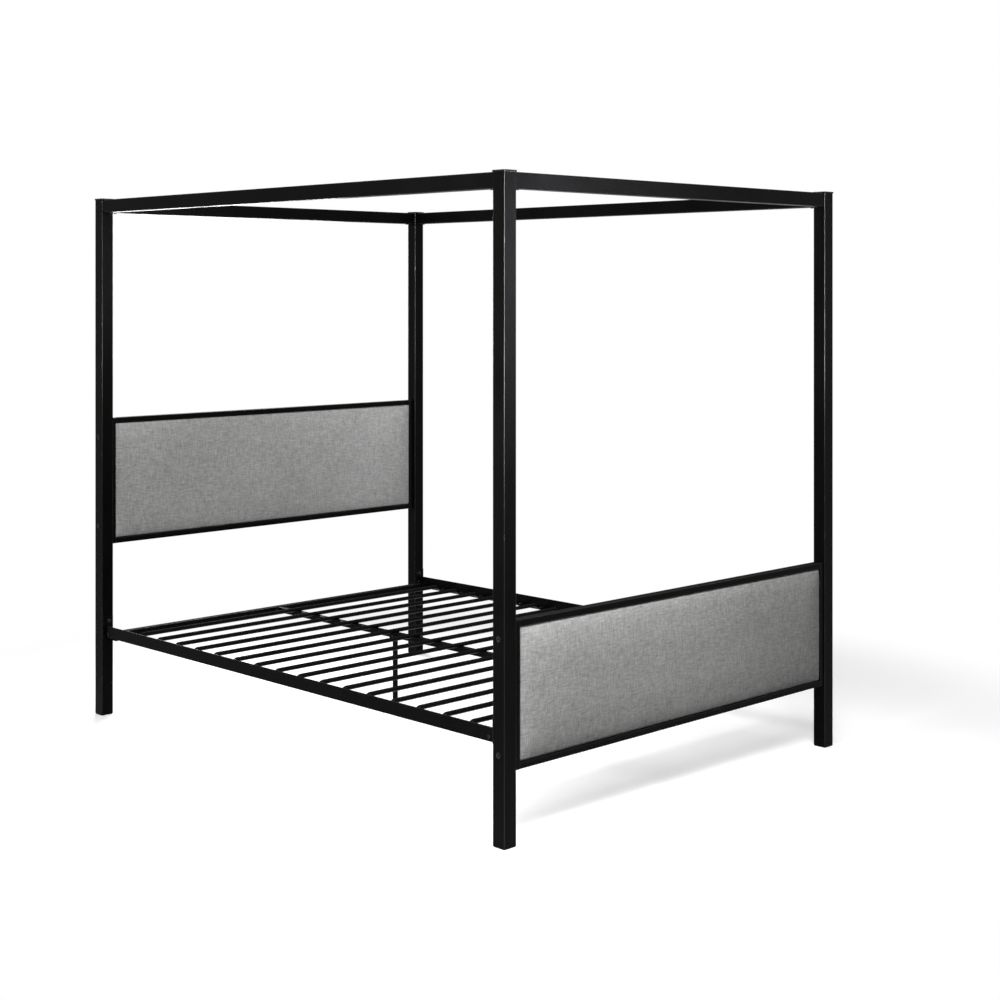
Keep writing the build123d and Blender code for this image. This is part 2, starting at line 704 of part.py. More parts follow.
# Plastic feet pushed into the legs
leg_bore_radius = leg_diameter / 2 - leg_wall
with BuildPart() as leg_foot:
    with BuildSketch():
        Circle(leg_foot_diameter / 2)
    extrude(amount=leg_foot_height)
    fillet(leg_foot.edges().filter_by(GeomType.CIRCLE), leg_foot_edge)
    with BuildSketch(Plane.XY.offset(leg_foot_height)):
        Circle(leg_bore_radius - plug_clearance)
    extrude(amount=leg_plug_depth)
place_all(leg_foot.part, [(0, y, 0) for y in leg_places], "leg_feet")
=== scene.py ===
"""Looks of a four poster canopy bed: satin black steel tube, two panels in grey linen, light and camera.

Metres, +Z up, +Y towards the head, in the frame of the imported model.
"""

import json
import math

import bpy
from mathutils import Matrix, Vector, noise


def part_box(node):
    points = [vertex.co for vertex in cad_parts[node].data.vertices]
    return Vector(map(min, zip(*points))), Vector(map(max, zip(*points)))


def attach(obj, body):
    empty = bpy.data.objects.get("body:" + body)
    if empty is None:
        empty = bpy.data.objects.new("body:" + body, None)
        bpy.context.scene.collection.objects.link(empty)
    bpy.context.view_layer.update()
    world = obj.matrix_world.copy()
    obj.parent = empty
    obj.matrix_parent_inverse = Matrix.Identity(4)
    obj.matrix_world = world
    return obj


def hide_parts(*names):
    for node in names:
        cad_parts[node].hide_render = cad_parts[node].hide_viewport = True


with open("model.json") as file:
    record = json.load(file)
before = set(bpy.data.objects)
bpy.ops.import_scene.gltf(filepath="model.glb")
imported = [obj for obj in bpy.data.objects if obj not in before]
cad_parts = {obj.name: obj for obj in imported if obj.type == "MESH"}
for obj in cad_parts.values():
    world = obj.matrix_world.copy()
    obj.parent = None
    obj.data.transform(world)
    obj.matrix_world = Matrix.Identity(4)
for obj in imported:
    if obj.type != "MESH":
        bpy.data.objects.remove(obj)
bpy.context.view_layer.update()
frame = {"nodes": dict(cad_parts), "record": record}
parts = frame["nodes"]
scene = bpy.context.scene

# Camera: level, at the photograph's viewing angle; the picture is 1000 x 1000
CAMERA_PLACE = (-4.0648, -4.4179, 1.5383)
CAMERA_YAW = 0.7727
CAMERA_REACH = 200.0
PICTURE_WIDTH = 1000.0
FOCAL_PIXELS = 1708.78
LENS_AXIS_ROW = 290.9
SENSOR_WIDTH = 36.0

# Sprayed coats
PEEL_DEPTH = 0.00015
TOP_ROUGHNESS = 0.88
POLISH_ROUGHNESS = 0.18

# Linen; a bundle is (its count of yarns, weight of its tone, how often its slubs come)
YARN_PITCH = 0.0015
SLUB_LENGTH = 0.026
YARN_BUNDLES = ((1.0, 0.45, 1.0), (2.0, 0.70, 0.8), (5.0, 0.15, 0.45))
YARN_STRIDE = 7.317
WEAVE_DEPTH = 0.0005

# Dust cloth and board
CLOTH_DOT_PITCH = 0.0036
CLOTH_FIBRE_SCALE = 1400.0
CLOTH_CLOUD_SCALE = 24.0
CLOTH_DEPTH = 0.0003
CHIP_SCALE = 260.0
CHIP_DEPTH = 0.0003

# Upholstered panels
PAD_CELL = 0.008
PAD_ROLL = 0.056
PAD_ROLL_POWER = 2.4
PAD_CORNER_POWER = 2.6
PAD_EDGE_TUCK = 0.0036
PAD_CROWN = 0.0072
PAD_PULL_DEPTH = 0.0005
PAD_SLACK_DEPTH = 0.0007
STAPLE_PITCH = 0.058
CLOTH_FRAMES = 20
CLOTH_LIMIT = 0.0045
CLOTH_SETTINGS = {
    "quality": 5,
    "mass": 0.35,
    "tension_stiffness": 25.0,
    "compression_stiffness": 25.0,
    "shear_stiffness": 10.0,
    "bending_stiffness": 1.5,
    "use_pressure": True,
    "uniform_pressure_force": 4.0,
}
SETTLE_ROUNDS = 14
SETTLE_KEEP = 0.5
SETTLE_SHARE = 0.125

# Slats
SLAT_COUNT = 16
SLAT_DIAMETER = 0.015
SLAT_TIP_WIDTH = 0.022
SLAT_TIP_THICKNESS = 0.004
SLAT_TIP_LENGTH = 0.023
SLAT_BEND = 0.034
SLAT_CORNER = 0.006
SLAT_CORNER_LEAD = 0.004
SLAT_SIDES = 28
SLAT_STRAIGHT_STEPS = 6
SLAT_BEND_STEPS = 16
SLAT_CORNER_STEPS = 8

# Dust sheets behind the panels; a staple's outline is (share of its width, height over the sheet)
SHEET_CELL = 0.018
SHEET_RIPPLE = 0.0006
SHEET_HELD_EDGE = 0.05
SHEET_LIFT = 0.0005
SHEET_THICKNESS = 0.0004
STAPLE_WIDTH = 0.010
STAPLE_WIRE = 0.0009
STAPLE_WIRE_DEPTH = 0.0005
STAPLE_INSET = 0.009
STAPLE_STRAY = 0.004
STAPLE_TILT = 0.25
STAPLE_OUTLINE = ((-0.5, 0.0), (-0.5, 0.0006), (-0.44, 0.0011), (0.44, 0.0011), (0.5, 0.0006), (0.5, 0.0))

# Light that the white surroundings give, and glow of the pale floor
WORLD_FILL = 0.17
FLOOR_LIFT = 0.30
FLOOR_FADE_START = 1.4
FLOOR_FADE_END = 2.5
FLOOR_REACH = 60.0
WHITE = (1.0, 1.0, 1.0, 1.0)
BLUISH = (0.90, 0.91, 1.0)

FLOAT = "NodeSocketFloat"
VECTOR = "NodeSocketVector"


class Nodes:
    """A node tree with short calls for adding and joining nodes."""

    def __init__(self, tree):
        self.tree = tree

    def add(self, kind, inputs=None, **settings):
        node = self.tree.nodes.new(kind)
        for name, value in settings.items():
            setattr(node, name, value)
        for name, value in (inputs or {}).items():
            self.put(node.inputs[name], value)
        return node

    def put(self, socket, value):
        """Joins a socket to another, or sets its value."""
        if isinstance(value, bpy.types.NodeSocket):
            self.tree.links.new(value, socket)
        else:
            socket.default_value = value

    def sum(self, operation, first, second=0.0, third=0.0, clamp=False):
        """Result of any one operation of the math node."""
        node = self.add("ShaderNodeMath", operation=operation, use_clamp=clamp)
        for socket, value in zip(node.inputs, (first, second, third)):
            self.put(socket, value)
        return node.outputs[0]

    def point(self, x=0.0, y=0.0, z=0.0):
        return self.add("ShaderNodeCombineXYZ", {"X": x, "Y": y, "Z": z}).outputs[0]

    def cloud(self, where, scale, detail=2.0, roughness=0.5):
        inputs = {"Vector": where, "Scale": scale, "Detail": detail, "Roughness": roughness}
        return self.add("ShaderNodeTexNoise", inputs).outputs["Fac"]

    def span(self, value, low, high, out_low=0.0, out_high=1.0, smooth=False):
        """A value from one range brought into another."""
        node = self.add("ShaderNodeMapRange", interpolation_type="SMOOTHSTEP" if smooth else "LINEAR")
        for socket, number in zip(node.inputs, (value, low, high, out_low, out_high)):
            self.put(socket, number)
        return node.outputs[0]

    def mix(self, share, first, second):
        """A blend of two colours."""
        node = self.add("ShaderNodeMix", data_type="RGBA")
        self.put(node.inputs[0], share)
        self.put(node.inputs[6], first)
        self.put(node.inputs[7], second)
        return node.outputs[2]


def shade_group(name, inputs, outputs):
    """An empty shader node group with float inputs of the given values and outputs of the given kinds."""
    tree = bpy.data.node_groups.new(name, "ShaderNodeTree")
    for label, value in inputs.items():
        socket = tree.interface.new_socket(label, in_out="INPUT", socket_type=FLOAT)
        socket.default_value = value
    for label, kind in outputs.items():
        tree.interface.new_socket(label, in_out="OUTPUT", socket_type=kind)
    nodes = Nodes(tree)
    return nodes, nodes.add("NodeGroupInput").outputs, nodes.add("NodeGroupOutput").inputs


def place_group(nodes, name, **values):
    """A node group placed in a material, with its own values."""
    node = nodes.add("ShaderNodeGroup", node_tree=bpy.data.node_groups[name])
    for label, value in values.items():
        nodes.put(node.inputs[label], value)
    return node.outputs


def colour(red, green, blue):
    return (red, green, blue, 1.0)


# Effects that several finishes share

def make_coat_grain():
    """Fine orange peel of a sprayed coat, a slow drift of tone, rubbed patches and a mask of upward faces."""
    nodes, given, out = shade_group(
        "coat_grain", {"Peel Size": 0.0014}, {"Height": FLOAT, "Drift": FLOAT, "Rub": FLOAT, "Top": FLOAT})
    where = nodes.add("ShaderNodeTexCoord").outputs["Object"]
    fine = nodes.sum("DIVIDE", 1.0, given["Peel Size"])
    peel = nodes.cloud(where, fine, 2.5, 0.55)
    dust = nodes.cloud(where, nodes.sum("MULTIPLY", fine, 3.1), 1.0)
    nodes.put(out["Height"], nodes.sum("MULTIPLY_ADD", dust, 0.3, peel))
    nodes.put(out["Drift"], nodes.cloud(where, 5.0, 3.0, 0.6))
    nodes.put(out["Rub"], nodes.span(nodes.cloud(where, 17.0, 4.0, 0.65), 0.55, 0.72, smooth=True))
    facing = nodes.add("ShaderNodeNewGeometry").outputs["Normal"]
    upward = nodes.add("ShaderNodeSeparateXYZ", {"Vector": facing}).outputs["Z"]
    nodes.put(out["Top"], nodes.span(upward, 0.4, 0.9, smooth=True))


def make_soft_edge():
    """Rounded-over edges: their normal, and a mask that is strongest along edges and rounded corners."""
    nodes, given, out = shade_group("soft_edge", {"Width": 0.0015}, {"Normal": VECTOR, "Edge": FLOAT})
    rounded = nodes.add("ShaderNodeBevel", {"Radius": given["Width"]}, samples=6)
    flat = nodes.add("ShaderNodeNewGeometry").outputs["Normal"]
    turn = nodes.add("ShaderNodeVectorMath", operation="DOT_PRODUCT")
    nodes.put(turn.inputs[0], rounded.outputs[0])
    nodes.put(turn.inputs[1], flat)
    sharp = nodes.span(turn.outputs["Value"], 0.995, 0.88, smooth=True)
    facing = nodes.add("ShaderNodeVectorMath", operation="ABSOLUTE")
    nodes.put(facing.inputs[0], rounded.outputs[0])
    sides = nodes.add("ShaderNodeSeparateXYZ", {"Vector": facing.outputs[0]}).outputs
    squarest = nodes.sum("MAXIMUM", nodes.sum("MAXIMUM", sides["X"], sides["Y"]), sides["Z"])
    corner = nodes.span(squarest, 0.995, 0.90, smooth=True)
    nodes.put(out["Normal"], rounded.outputs[0])
    nodes.put(out["Edge"], nodes.sum("MAXIMUM", sharp, corner))


def make_woven_yarn():
    """Plain weave of slubby yarn in the X-Z plane: the yarns' tone, their height and a slow drift."""
    nodes, given, out = shade_group(
        "woven_yarn", {"Pitch": 0.0015, "Slub Length": 0.03},
        {"Tone": FLOAT, "Height": FLOAT, "Drift": FLOAT})
    where = nodes.add("ShaderNodeTexCoord").outputs["Object"]
    sway = nodes.sum("MULTIPLY_ADD", nodes.cloud(where, 9.0, 2.0), 0.006, -0.003)
    axes = nodes.add("ShaderNodeSeparateXYZ", {"Vector": where}).outputs
    across = nodes.sum("DIVIDE", nodes.sum("ADD", axes["X"], sway), given["Pitch"])
    along = nodes.sum("DIVIDE", nodes.sum("ADD", axes["Z"], sway), given["Pitch"])
    slub = nodes.sum("DIVIDE", given["Pitch"], given["Slub Length"])

    def yarn(side, run, seed):
        lengthways = nodes.sum("MULTIPLY", run, slub)
        tones = []
        for count, weight, often in YARN_BUNDLES:
            number = nodes.sum("FLOOR", nodes.sum("DIVIDE", side, count))
            apart = nodes.sum("MULTIPLY", number, YARN_STRIDE)
            spot = nodes.point(apart, nodes.sum("MULTIPLY", lengthways, often), seed + 9.0 * count)
            tones.append(nodes.sum("MULTIPLY", nodes.cloud(spot, 1.0, 2.0, 0.6), weight))
        crown = nodes.sum("ABSOLUTE", nodes.sum("SINE", nodes.sum("MULTIPLY", side, math.pi)))
        return nodes.sum("ADD", nodes.sum("ADD", tones[0], tones[1]), tones[2]), crown

    warp_tone, warp_crown = yarn(across, along, 3.0)
    weft_tone, weft_crown = yarn(along, across, 41.0)
    cross = nodes.sum("MULTIPLY",
                      nodes.sum("SINE", nodes.sum("MULTIPLY", across, math.pi)),
                      nodes.sum("SINE", nodes.sum("MULTIPLY", along, math.pi)))
    warp_up = nodes.span(cross, -0.12, 0.12, smooth=True)
    weft_up = nodes.sum("SUBTRACT", 1.0, warp_up)

    def on_top(warp, weft):
        return nodes.sum("ADD", nodes.sum("MULTIPLY", warp, warp_up), nodes.sum("MULTIPLY", weft, weft_up))

    tone = on_top(warp_tone, weft_tone)
    crown = on_top(warp_crown, weft_crown)
    nodes.put(out["Tone"], tone)
    nodes.put(out["Height"], nodes.sum("MULTIPLY_ADD", tone, 0.6, crown))
    nodes.put(out["Drift"], nodes.cloud(where, 3.2, 3.0, 0.6))


make_coat_grain()
make_soft_edge()
make_woven_yarn()


# Finishes

def finish_of(name):
    """A new material, its nodes and its Principled shader."""
    material = bpy.data.materials.new(name)
    material.use_nodes = True
    nodes = Nodes(material.node_tree)
    return material, nodes, material.node_tree.nodes["Principled BSDF"]


def add_relief(nodes, shader, strength, depth, height, **normal):
    """Bump of a material, on top of another normal if one is given."""
    inputs = {"Strength": strength, "Distance": depth, "Height": height, **normal}
    nodes.put(shader.inputs["Normal"], nodes.add("ShaderNodeBump", inputs).outputs[0])


def sprayed(name, dark, light, edge, *, roughness, gloss, peel, edge_width, relief, polish, metallic=0.0):
    """A hard sprayed or moulded finish: peel, a slow drift of tone, rubbed edges, dull upward faces."""
    material, nodes, shader = finish_of(name)
    grain = place_group(nodes, "coat_grain", **{"Peel Size": peel})
    corner = place_group(nodes, "soft_edge", Width=edge_width)
    body = nodes.mix(nodes.span(grain["Drift"], 0.3, 0.7), dark, light)
    worn = nodes.sum("MULTIPLY", corner["Edge"], nodes.span(grain["Rub"], 0.0, 1.0, 0.35, 1.0))
    nodes.put(shader.inputs["Base Color"], nodes.mix(worn, body, edge))
    patchy = nodes.span(grain["Drift"], 0.3, 0.7, roughness - 0.05, roughness + 0.07)
    sheen = nodes.sum("MULTIPLY_ADD", grain["Rub"], -0.06, patchy)
    dulled = nodes.sum("MULTIPLY", grain["Top"], TOP_ROUGHNESS)
    nodes.put(shader.inputs["Roughness"], nodes.sum("MAXIMUM", sheen, dulled))
    if polish > 0.0:
        nodes.put(shader.inputs["Coat Weight"], nodes.sum("MULTIPLY", worn, polish))
        shader.inputs["Coat Roughness"].default_value = POLISH_ROUGHNESS
    add_relief(nodes, shader, relief, PEEL_DEPTH, grain["Height"], Normal=corner["Normal"])
    shader.inputs["Specular IOR Level"].default_value = gloss
    shader.inputs["Metallic"].default_value = metallic
    return material


def make_linen():
    """Heathered grey linen: pale and dark yarns, soft sheen, woven relief."""
    material, nodes, shader = finish_of("grey_linen")
    weave = place_group(nodes, "woven_yarn", **{"Pitch": YARN_PITCH, "Slub Length": SLUB_LENGTH})
    tone = nodes.sum("MULTIPLY_ADD", weave["Drift"], 0.12, weave["Tone"])
    yarn = nodes.mix(nodes.span(tone, 0.50, 0.92), colour(0.135, 0.134, 0.132), colour(0.445, 0.443, 0.437))
    nodes.put(shader.inputs["Base Color"], yarn)
    nodes.put(shader.inputs["Roughness"], nodes.span(weave["Tone"], 0.4, 0.9, 0.96, 0.84))
    add_relief(nodes, shader, 0.55, WEAVE_DEPTH, weave["Height"])
    shader.inputs["Specular IOR Level"].default_value = 0.25
    shader.inputs["Sheen Weight"].default_value = 0.08
    shader.inputs["Sheen Roughness"].default_value = 0.5
    return material


def make_dust_cloth():
    """Black spun-bonded cloth: matted fibres with rows of pressed dots."""
    material, nodes, shader = finish_of("black_dust_cloth")
    where = nodes.add("ShaderNodeTexCoord").outputs["Object"]
    axes = nodes.add("ShaderNodeSeparateXYZ", {"Vector": where}).outputs
    wave = 2.0 * math.pi / CLOTH_DOT_PITCH
    rows = [nodes.sum("SINE", nodes.sum("MULTIPLY", axes[side], wave)) for side in "XZ"]
    dots = nodes.span(nodes.sum("MULTIPLY", rows[0], rows[1]), 0.35, 0.75, smooth=True)
    fibres = nodes.cloud(where, CLOTH_FIBRE_SCALE, 3.0, 0.7)
    clouds = nodes.cloud(where, CLOTH_CLOUD_SCALE, 3.0)
    mat = nodes.sum("MULTIPLY_ADD", clouds, 0.6, nodes.sum("MULTIPLY", fibres, 0.5))
    black = nodes.mix(nodes.span(mat, 0.35, 0.8), colour(0.014, 0.014, 0.015), colour(0.034, 0.034, 0.036))
    nodes.put(shader.inputs["Base Color"], black)
    nodes.put(shader.inputs["Roughness"], nodes.span(dots, 0.0, 1.0, 0.92, 0.7))
    height = nodes.sum("SUBTRACT", nodes.sum("MULTIPLY", fibres, 0.5), nodes.sum("MULTIPLY", dots, 0.6))
    add_relief(nodes, shader, 0.5, CLOTH_DEPTH, height)
    shader.inputs["Specular IOR Level"].default_value = 0.2
    return material


def make_chipboard():
    """Raw board of the panels, flecked with pressed chips."""
    material, nodes, shader = finish_of("raw_board")
    where = nodes.add("ShaderNodeTexCoord").outputs["Object"]
    chips = nodes.add("ShaderNodeTexVoronoi", {"Vector": where, "Scale": CHIP_SCALE}).outputs["Color"]
    fleck = nodes.add("ShaderNodeSeparateColor", {"Color": chips}).outputs[0]
    wood = nodes.mix(fleck, colour(0.33, 0.22, 0.12), colour(0.5, 0.37, 0.22))
    nodes.put(shader.inputs["Base Color"], wood)
    nodes.put(shader.inputs["Roughness"], nodes.span(fleck, 0.0, 1.0, 0.7, 0.9))
    add_relief(nodes, shader, 0.2, CHIP_DEPTH, fleck)
    return material


satin_black = sprayed(
    "satin_black_coat",
    colour(0.0012, 0.0012, 0.0013), colour(0.0024, 0.0023, 0.0022), colour(0.009, 0.0088, 0.0086),
    roughness=0.38, gloss=0.026, peel=0.0014, edge_width=0.0020, relief=0.16, polish=0.9)
satin_black_rod = sprayed(
    "satin_black_rod_coat",
    colour(0.0014, 0.0014, 0.0015), colour(0.0026, 0.0025, 0.0024), colour(0.0030, 0.0029, 0.0028),
    roughness=0.38, gloss=0.030, peel=0.0012, edge_width=0.0006, relief=0.14, polish=0.12)
black_plastic = sprayed(
    "moulded_black_plastic",
    colour(0.0042, 0.0042, 0.0045), colour(0.0068, 0.0067, 0.0068), colour(0.014, 0.014, 0.014),
    roughness=0.48, gloss=0.10, peel=0.0007, edge_width=0.0010, relief=0.28, polish=0.2)
black_oxide = sprayed(
    "black_oxide_bolts",
    colour(0.0040, 0.0039, 0.0040), colour(0.0065, 0.0064, 0.0063), colour(0.016, 0.0157, 0.0153),
    roughness=0.34, gloss=0.10, peel=0.0010, edge_width=0.0005, relief=0.10, polish=0.3)
staple_wire = sprayed(
    "staple_wire",
    colour(0.20, 0.195, 0.19), colour(0.28, 0.275, 0.27), colour(0.36, 0.355, 0.35),
    roughness=0.38, gloss=0.5, peel=0.0010, edge_width=0.0002, relief=0.08, polish=0.0, metallic=1.0)
grey_linen = make_linen()
dust_cloth = make_dust_cloth()
raw_board = make_chipboard()

FINISH_OF_SLOT = {
    "black_steel": satin_black,
    "black_plastic": black_plastic,
    "fastener_steel": black_oxide,
    "panel_board": raw_board,
    "pad_foam": grey_linen,
    "grey_fabric": grey_linen,
    "dust_cloth": dust_cloth,
}


def dress_parts():
    """Every part of the frame gets the finish of its slot, and the support legs get the slats' coat."""
    for entry in frame["record"]["subparts"]:
        part = parts[entry["node"]]
        part.data.materials.clear()
        rod = entry["node"].startswith("support_leg")
        part.data.materials.append(satin_black_rod if rod else FINISH_OF_SLOT[entry["material_slot"]])


def new_piece(name, points, faces, material, smooth=True):
    """A mesh with one finish, placed in the scene."""
    mesh = bpy.data.meshes.new(name)
    mesh.from_pydata(points, [], faces)
    mesh.validate()
    mesh.materials.append(material)
    mesh.polygons.foreach_set("use_smooth", [smooth] * len(mesh.polygons))
    piece = bpy.data.objects.new(name, mesh)
    scene.collection.objects.link(piece)
    return piece


def grid_over(low, high, cell):
    """(x, z) places of a grid over a panel, row by row, and its counts of columns and rows of cells."""
    columns = round((high.x - low.x) / cell)
    rows = round((high.z - low.z) / cell)
    places = [(low.x + (high.x - low.x) * column / columns, low.z + (high.z - low.z) * row / rows)
              for row in range(rows + 1) for column in range(columns + 1)]
    return places, columns, rows


# Upholstered panels

def rise_from_edge(x, z, low, high):
    """0 at the pad's edge, 1 on its flat middle, rounded over within the roll and softer at the corners."""
    near_side = min(x - low.x, high.x - x) / PAD_ROLL
    near_end = min(z - low.z, high.z - z) / PAD_ROLL
    sides = [1.0 - min(1.0, max(0.0, near)) for near in (near_side, near_end)]
    corner = sides[0] ** PAD_CORNER_POWER + sides[1] ** PAD_CORNER_POWER
    fall = min(1.0, corner ** (1.0 / PAD_CORNER_POWER))
    return 1.0 - fall ** PAD_ROLL_POWER


def pad_points(low, high, front, seed):
    """Two grids, front and back, of a pad that the staples pull in along its edges."""
    places, columns, rows = grid_over(low, high, PAD_CELL)
    points = []
    for x, z in places:
        rise = rise_from_edge(x, z, low, high)
        wander = 3.0 * noise.noise((x * 5.0, z * 5.0, seed))
        pull = math.cos(2.0 * math.pi * (x + 0.7 * z) / STAPLE_PITCH + wander)
        slack = noise.noise((x * 4.0, z * 5.5, seed + 4.0))
        slack += 0.5 * noise.noise((x * 11.0, z * 9.0, seed + 8.0))
        proud = -PAD_EDGE_TUCK + (PAD_EDGE_TUCK + PAD_CROWN) * rise
        proud += PAD_PULL_DEPTH * pull * rise * (1.0 - rise) * 4.0 + PAD_SLACK_DEPTH * slack * rise
        points.append((x, front - proud, z))
    points += [(x, high.y, z) for x, z in places]
    return points, columns, rows


def pad_faces(columns, rows):
    """Quads of the two grids and of the walls between them."""
    wide = columns + 1
    back = wide * (rows + 1)
    faces = []
    for row in range(rows):
        for column in range(columns):
            a = row * wide + column
            quad = (a, a + 1, a + 1 + wide, a + wide)
            faces.append(quad)
            faces.append(tuple(back + corner for corner in reversed(quad)))
    rim = list(range(columns))
    rim += [columns + wide * row for row in range(rows)]
    rim += [wide * rows + columns - step for step in range(columns)]
    rim += [wide * (rows - row) for row in range(rows)]
    for here, there in zip(rim, rim[1:] + rim[:1]):
        faces.append((there, here, back + here, back + there))
    return faces


def swell(pad, columns, rows):
    """Cloth pulled over foam: pressure fills the cover, its back and rim are held, the foam keeps it
    from sinking, and no point moves far."""
    start = [point.co.copy() for point in pad.data.vertices]
    wide = columns + 1
    back = list(range(wide * (rows + 1), len(start)))
    rim = [row * wide + column for row in range(rows + 1) for column in range(wide)
           if row in (0, rows) or column in (0, columns)]
    held = pad.vertex_groups.new(name="held_on_board")
    held.add(back + rim, 1.0, "REPLACE")
    cloth = pad.modifiers.new("swell", "CLOTH")
    for setting, value in CLOTH_SETTINGS.items():
        setattr(cloth.settings, setting, value)
    cloth.settings.vertex_group_mass = held.name
    cloth.settings.effector_weights.gravity = 0.0
    cloth.point_cache.frame_start = 1
    cloth.point_cache.frame_end = CLOTH_FRAMES
    for number in range(1, CLOTH_FRAMES + 1):
        scene.frame_set(number)
    swollen = pad.evaluated_get(bpy.context.evaluated_depsgraph_get())
    moved = [point.co.copy() for point in swollen.to_mesh().vertices]
    swollen.to_mesh_clear()
    pad.modifiers.remove(cloth)
    pad.vertex_groups.clear()
    scene.frame_set(1)
    for point, before, after in zip(pad.data.vertices, start, moved):
        step = after - before
        step.y = min(step.y, 0.0)
        if step.length > 0.0:
            step *= CLOTH_LIMIT * math.tanh(step.length / CLOTH_LIMIT) / step.length
        point.co = before + step
    settle(pad, columns, rows)


def settle(pad, columns, rows):
    """The foam evens out small ridges in the front."""
    wide = columns + 1
    depth = [point.co.y for point in pad.data.vertices]
    for _ in range(SETTLE_ROUNDS):
        even = list(depth)
        for row in range(1, rows):
            for here in range(row * wide + 1, row * wide + columns):
                beside = depth[here - 1] + depth[here + 1] + depth[here - wide] + depth[here + wide]
                even[here] = SETTLE_KEEP * depth[here] + SETTLE_SHARE * beside
        depth = even
    for point, y in zip(pad.data.vertices, depth):
        point.co.y = y


def make_pad(panel, seed):
    """One panel's upholstery, foam and cover together, between its four frame tubes."""
    low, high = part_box(f"{panel}_cover")
    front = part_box(f"{panel}_left_stile")[0].y
    points, columns, rows = pad_points(low, high, front, seed)
    pad = new_piece(f"{panel}_pad", points, pad_faces(columns, rows), grey_linen)
    swell(pad, columns, rows)
    for point in pad.data.vertices:
        point.co.x = min(max(point.co.x, low.x), high.x)
        point.co.y = min(point.co.y, high.y)
        point.co.z = min(max(point.co.z, low.z), high.z)
    pad.modifiers.new("fine", "SUBSURF").render_levels = 1
    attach(pad, "root")
    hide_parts(f"{panel}_cover", f"{panel}_foam")


# Slats

def slat_ring(x, width, height, middle):
    """One section across a slat: round, or flattened to a stadium."""
    radius = 0.5 * min(width, height)
    ring = []
    for side in range(SLAT_SIDES):
        angle = 2.0 * math.pi * (side + 0.5) / SLAT_SIDES
        y = math.copysign(0.5 * width - radius, math.cos(angle)) + radius * math.cos(angle)
        z = math.copysign(0.5 * height - radius, math.sin(angle)) + radius * math.sin(angle)
        ring.append((x, y, middle + z))
    return ring


def half_slat_stations(low, high):
    """(x, width, height, middle) from the slat's centre to one tip."""
    axis = high.z - 0.5 * SLAT_DIAMETER
    tip = low.z + 0.5 * SLAT_TIP_THICKNESS
    bend_start = high.x - SLAT_TIP_LENGTH - SLAT_BEND
    stations = [(bend_start * step / SLAT_STRAIGHT_STEPS, SLAT_DIAMETER, SLAT_DIAMETER, axis)
                for step in range(SLAT_STRAIGHT_STEPS)]
    for step in range(SLAT_BEND_STEPS + 1):
        share = step / SLAT_BEND_STEPS
        blend = share * share * (3.0 - 2.0 * share)
        stations.append((
            bend_start + SLAT_BEND * share,
            SLAT_DIAMETER + (SLAT_TIP_WIDTH - SLAT_DIAMETER) * blend,
            SLAT_DIAMETER + (SLAT_TIP_THICKNESS - SLAT_DIAMETER) * blend,
            axis + (tip - axis) * blend))
    stations.append((high.x - SLAT_CORNER - SLAT_CORNER_LEAD, SLAT_TIP_WIDTH, SLAT_TIP_THICKNESS, tip))
    for step in range(SLAT_CORNER_STEPS + 1):
        angle = 0.5 * math.pi * step / SLAT_CORNER_STEPS
        narrowed = SLAT_TIP_WIDTH - 2.0 * SLAT_CORNER * (1.0 - math.cos(angle))
        x = high.x - SLAT_CORNER + SLAT_CORNER * math.sin(angle)
        stations.append((x, narrowed, SLAT_TIP_THICKNESS, tip))
    return stations


def make_slats():
    """Round steel slats with pressed, dropped tips that rest on the side rails."""
    low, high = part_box("slat_01")
    half = half_slat_stations(low, high)
    stations = [(-x, *rest) for x, *rest in reversed(half[1:])] + half
    points = []
    for station in stations:
        points += slat_ring(*station)
    faces = []
    for ring in range(len(stations) - 1):
        for side in range(SLAT_SIDES):
            a = ring * SLAT_SIDES + side
            b = ring * SLAT_SIDES + (side + 1) % SLAT_SIDES
            faces.append((a + SLAT_SIDES, b + SLAT_SIDES, b, a))
    last = (len(stations) - 1) * SLAT_SIDES
    faces.append(tuple(range(SLAT_SIDES)))
    faces.append(tuple(reversed(range(last, last + SLAT_SIDES))))
    first = new_piece("pressed_tip_slat_01", points, faces, satin_black_rod)
    for number in range(1, SLAT_COUNT + 1):
        node = f"slat_{number:02d}"
        slat = first
        if number > 1:
            slat = bpy.data.objects.new(f"pressed_tip_slat_{number:02d}", first.data)
            scene.collection.objects.link(slat)
        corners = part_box(node)
        slat.location.y = 0.5 * (corners[0].y + corners[1].y)
        bpy.context.view_layer.update()
        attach(slat, "root")
        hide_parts(node)


# Dust sheets and their staples

def make_dust_sheet(panel, seed):
    """The cloth stapled over a panel's back, a little slack between its staples."""
    low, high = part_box(f"{panel}_cover")
    board_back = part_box(f"{panel}_board")[1].y
    places, columns, rows = grid_over(low, high, SHEET_CELL)
    points = []
    for x, z in places:
        inside = min(1.0, min(x - low.x, high.x - x, z - low.z, high.z - z) / SHEET_HELD_EDGE)
        ripple = noise.noise((x * 6.0, z * 14.0, seed))
        ripple += 0.6 * noise.noise((x * 15.0, z * 8.0, seed + 5.0))
        points.append((x, board_back + SHEET_LIFT + SHEET_RIPPLE * (0.5 + 0.5 * ripple) * inside, z))
    wide = columns + 1
    faces = []
    for row in range(rows):
        for column in range(columns):
            a = row * wide + column
            faces.append((a + 1, a, a + wide, a + wide + 1))
    sheet = new_piece(f"{panel}_dust_sheet", points, faces, dust_cloth)
    thick = sheet.modifiers.new("cloth", "SOLIDIFY")
    thick.thickness = SHEET_THICKNESS
    thick.offset = 0.0
    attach(sheet, "root")
    make_staples(panel, low, high, board_back)
    return sheet


